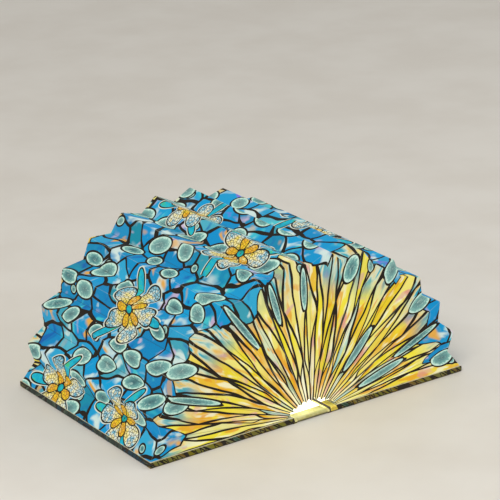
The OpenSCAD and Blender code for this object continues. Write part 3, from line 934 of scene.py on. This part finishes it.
for side, ridge, start, stop in (("left", 0, 0, 1), ("right", shade["pleats"], -1, 0)):
    piece = makeSheet(f"shade_foot_{side}", ridge, start, stop, shade["columns"] // 2 + 1)
    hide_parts(f"foot_pleat_{side}")
    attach(piece, f"{side}_cover")
    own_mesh(piece)
print("shade ready:", shade["pleats"] - 1, "pleats and two feet")


# light chips

chip = {
    "count": 16,
    "length": 3.5 * mm,
    "width": 2.8 * mm,
    "thick": 0.7 * mm,
    "window": 1.1 * mm,  # radius
    "dome": 0.08 * mm,
    "tab": 0.45 * mm,
    "slope": math.radians(36.35),
}
chipSizes = {label.title(): value for label, value in chip.items()}
chipParts = ("Body", "Glow", "Metal")


def chipTree():
    # a row of chips: a white body with a round glowing window and a metal tab at each end
    given = startGroup("light chips", {
        **chipSizes, "Pitch": 11 * mm, "Place": Vector(), **dict.fromkeys(chipParts, "NodeSocketMaterial"),
    }, ("Geometry",), "GeometryNodeTree")
    length, width, thick, dome, tab = (given[n] for n in ("Length", "Width", "Thick", "Dome", "Tab"))

    def moved(shape, number, z, y=0.0):
        placed = addNode("GeometryNodeTransform", {"Geometry": shape, "Translation": joined(0.0, y, z)})
        return stored(placed.outputs[0], "part", number, "INT", "FACE")

    def block(x, y, z):
        return addNode("GeometryNodeMeshCube", {"Size": joined(x, y, z)}).outputs["Mesh"]

    body = moved(block(width, length - tab * 0.6, thick - dome), 0, dome * -0.5)
    disc = addNode("GeometryNodeMeshCylinder", {"Vertices": 24, "Radius": given["Window"], "Depth": dome * 2})
    window = moved(disc.outputs["Mesh"], 1, thick * 0.5 - dome)
    tabs = [moved(block(width * 0.7, tab, thick * 0.4), 2, thick * -0.3, (length - tab) * side)
            for side in (-0.5, 0.5)]
    whole = addNode("GeometryNodeJoinGeometry")
    for shape in (body, window, *tabs):
        plug(shape, whole.inputs[0])
    first = joined(0.0, (given["Count"] - 1) * given["Pitch"] * -0.5)
    row = addNode("GeometryNodeMeshLine", {
        "Count": given["Count"], "Start Location": first, "Offset": joined(0.0, given["Pitch"])})
    copies = addNode("GeometryNodeInstanceOnPoints", {
        "Points": row.outputs["Mesh"], "Instance": whole.outputs[0]})
    turn = joined(0.0, given["Slope"])
    placed = addNode("GeometryNodeTransform", {
        "Geometry": copies.outputs[0], "Translation": given["Place"], "Rotation": turn})
    shape = addNode("GeometryNodeRealizeInstances", {"Geometry": placed.outputs[0]}).outputs[0]
    part = addNode("GeometryNodeInputNamedAttribute", {"Name": "part"}, data_type="INT")
    number = Num([o for o in part.outputs if o.name == "Attribute" and o.enabled][0])
    for value, name in enumerate(chipParts):
        here = (number - value).size().do("LESS_THAN", 0.5)
        shape = addNode("GeometryNodeSetMaterial", {
            "Geometry": shape, "Selection": here, "Material": given[name]}).outputs[0]
    return endGroup({"Geometry": shape})


lightChips = chipTree()
chipInks = {
    "Body": plastic("chip body", ink(240, 238, 228), 0.35),
    "Glow": plastic("chip window", ink(255, 222, 120), 0.3, 3.0),
    "Metal": metal("tinned tabs", ink(208, 208, 204), 0.3, (1.0, 1.0, 1.0), 1500),
}
for side, turn in (("left", -1), ("right", 1)):
    low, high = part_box(f"light_chips_{side}")
    piece = grown(f"light_chip_row_{side}", lightChips, {
        **chipSizes, **chipInks, "Pitch": (high.y - low.y - chip["length"]) / (chip["count"] - 1),
        "Slope": turn * chip["slope"], "Place": (low + high) / 2})
    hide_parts(f"light_chips_{side}")
    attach(piece, "spine")
print("light chips ready")


# wrap joints and glue flaps

def meshPiece(name, mesh, material, sharp=40):
    bmesh.ops.recalc_face_normals(mesh, faces=mesh.faces)
    data = bpy.data.meshes.new(name)
    mesh.to_mesh(data)
    mesh.free()
    data.materials.append(material)
    return addPiece(name, data, sharp)


joint = {
    "half": 107.2 * mm,  # along the spine
    "endRound": 1.5 * mm,
    "endSteps": 5,
    "endHeight": 1.0 * mm,  # height at which the rounded ends close
    "endLoss": 0.92,  # share of the fold's height that is lost there
    "lowest": 0.03 * mm,
    "straightSteps": 40,
    "straight": 0.985,  # share of the half length that these steps span
    # across, from the spine to the board: place from the middle and height, in millimetres
    "top": [(15.6, 3.30), (16.3, 3.28), (16.9, 3.02), (17.5, 2.75), (18.1, 2.66), (18.7, 2.85),
            (19.2, 3.3), (19.6, 3.95), (19.9, 4.6), (20.25, 5.0), (20.6, 5.1)],
    "bottom": [(20.6, 0.05), (19.4, 0.03), (18.0, 0.03), (16.8, 0.03), (15.6, 0.05)],
}


def makeJoint(side, turn):
    # a closed fold of the wrap between the spine and a cover, rounded off at both ends
    ring = [Vector((x, z)) * mm for x, z in joint["top"] + joint["bottom"]]
    rounded = []
    for i in range(joint["endSteps"] + 1):
        a = i / joint["endSteps"] * math.pi / 2
        rounded.append((joint["half"] - joint["endRound"] * (1 - math.sin(a)), 1 - math.cos(a)))
    steps = joint["straightSteps"]
    straight = [(joint["half"] * (i / (steps / 2) - 1) * joint["straight"], 0) for i in range(1, steps)]
    stations = [(-y, inset) for y, inset in rounded[::-1]] + straight + rounded
    mesh = bmesh.new()
    sheetMap = mesh.loops.layers.uv.new("sheetMap")
    flat = [0.0]
    for a, b in zip(ring, ring[1:] + ring[:1]):
        flat.append(flat[-1] + (b - a).length)
    rings = []
    for y, inset in stations:
        keep = 1 - joint["endLoss"] * inset
        heights = [max(joint["lowest"], joint["endHeight"] + (p.y - joint["endHeight"]) * keep) for p in ring]
        rings.append([mesh.verts.new((turn * p.x, y, z)) for p, z in zip(ring, heights)])
    count = len(ring)

    def face(corners, places):
        made = mesh.faces.new(corners)
        for loop, spot in zip(made.loops, places):
            loop[sheetMap].uv = spot

    for rowA, rowB, (yA, _), (yB, _) in zip(rings, rings[1:], stations, stations[1:]):
        for i in range(count):
            j = (i + 1) % count
            face((rowA[i], rowA[j], rowB[j], rowB[i]),
                 ((flat[i], yA), (flat[i + 1], yA), (flat[i + 1], yB), (flat[i], yB)))
    for row, (y, _) in ((rings[0], stations[0]), (rings[-1], stations[-1])):
        face(row, [(u, y) for u in flat[:count]])
    piece = meshPiece(f"wrap_joint_{side}", mesh, jointInk, 50)
    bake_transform(piece)


flap = {
    "width": 12 * mm,
    "thick": 0.35 * mm,
    "inner": 29 * mm,  # where it begins, from the middle
    "margin": 0.7 * mm,  # its outer edge inside the shade's
    "endMargin": 0.4 * mm,
    "lift": 0.02 * mm,
    "fringe": 0.4 * mm,  # unevenness of its cut edge
    "steps": 40,
}


def makeFlap(side, turn):
    # the sheet's glued margin on a cover: a frame open toward the spine, a little uneven along its cut edge
    outer = shade["hingeX"] + shade["radius"] - flap["margin"]
    half = shade["halfLength"] - flap["endMargin"]
    low = shade["hingeZ"] + shade["seat"] + flap["lift"]
    high = low + flap["thick"]
    inner, steps = flap["inner"], flap["steps"]
    line = [(inner + (outer - inner) * i / steps, -half) for i in range(steps)]
    line += [(outer, -half + 2 * half * i / steps) for i in range(steps)]
    line += [(outer - (outer - inner) * i / steps, half) for i in range(steps + 1)]
    mesh = bmesh.new()
    rows = []
    for i, (x, y) in enumerate(line):
        cut = flap["width"] + flap["fringe"] * math.sin(i * 1.7) * math.sin(i * 0.37 + 1)
        cutX, cutY = min(x, outer - cut), max(-half + cut, min(half - cut, y))
        corners = ((x, y, low), (x, y, high), (cutX, cutY, high), (cutX, cutY, low))
        rows.append([mesh.verts.new((turn * px, py, pz)) for px, py, pz in corners])
    for a, b in zip(rows, rows[1:]):
        for i in range(4):
            j = (i + 1) % 4
            mesh.faces.new((a[i], b[i], b[j], a[j]))
    mesh.faces.new(rows[0])
    mesh.faces.new(rows[-1][::-1])
    bmesh.ops.remove_doubles(mesh, verts=mesh.verts, dist=1e-6)
    piece = meshPiece(f"glue_flap_{side}", mesh, flapPaper)
    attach(piece, f"{side}_cover")


for side, turn in (("left", -1), ("right", 1)):
    makeJoint(side, turn)
    makeFlap(side, turn)
print("joints and flaps ready")


# light, floor and camera

studio = {
    "world": 0.55,
    "worldInk": (1.0, 0.985, 0.96, 1.0),
    # each lamp's place, size, power and colour
    "key": ((-1.2, -0.9, 1.6), 1.1, 22, (1.0, 0.97, 0.92)),
    "fill": ((1.3, -1.0, 1.1), 1.3, 8, (0.94, 0.97, 1.0)),
    "aim": (0, 0, 0.05),
    "floor": ink(226, 222, 214),
    "floorMottle": ink(220, 215, 206),
    "floorHalf": 6.0,
    "floorDrop": 0.2 * mm,
}


def makeStudio():
    world = bpy.data.worlds.new("studio")
    bpy.context.scene.world = world
    world.use_nodes = True
    background = world.node_tree.nodes["Background"]
    background.inputs["Color"].default_value = studio["worldInk"]
    background.inputs["Strength"].default_value = studio["world"]
    for name in ("key", "fill"):
        place, size, power, colour = studio[name]
        lamp = bpy.data.lights.new(name, "AREA")
        lamp.shape, lamp.size, lamp.energy, lamp.color = "DISK", size, power, colour
        turn = (Vector(studio["aim"]) - Vector(place)).to_track_quat("-Z", "Y")
        linked(name, lamp).matrix_world = Matrix.Translation(place) @ turn.to_matrix().to_4x4()
    half, low = studio["floorHalf"], -studio["floorDrop"]
    mesh = bpy.data.meshes.new("floor")
    mesh.from_pydata([(-half, -half, low), (half, -half, low), (half, half, low), (-half, half, low)],
                     [], [(0, 1, 2, 3)])
    mottle = noise(startMaterial("pale floor"), 9, 3.0, 0.55)
    colour = mixed(mottle.ramp(0.3, 0.7), studio["floor"], studio["floorMottle"])
    mesh.materials.append(dress(colour, 0.6))
    floor = linked("floor", mesh)


makeStudio()

# the photo's view: place in metres, turns in radians, focal length in pixels of a 500 pixel frame
view = {
    "place": (-1.1203, -1.6167, 0.8589),
    "yaw": 0.6108, "pitch": 0.3575, "roll": -0.017,
    "focal": 2368, "frame": 500,
}


def makeCamera():
    camera = bpy.data.cameras.new("camera")
    camera.sensor_width = 36
    camera.lens = view["focal"] * camera.sensor_width / view["frame"]
    camera.clip_start, camera.clip_end = 0.05, 50
    aim = Matrix.Rotation(-view["yaw"], 4, "Z") @ Matrix.Rotation(math.pi / 2 - view["pitch"], 4, "X")
    holder = linked("camera", camera)
    holder.matrix_world = Matrix.Translation(view["place"]) @ aim @ Matrix.Rotation(view["roll"], 4, "Z")
    bpy.context.scene.camera = holder


makeCamera()
bpy.context.scene.view_settings.view_transform = "Standard"
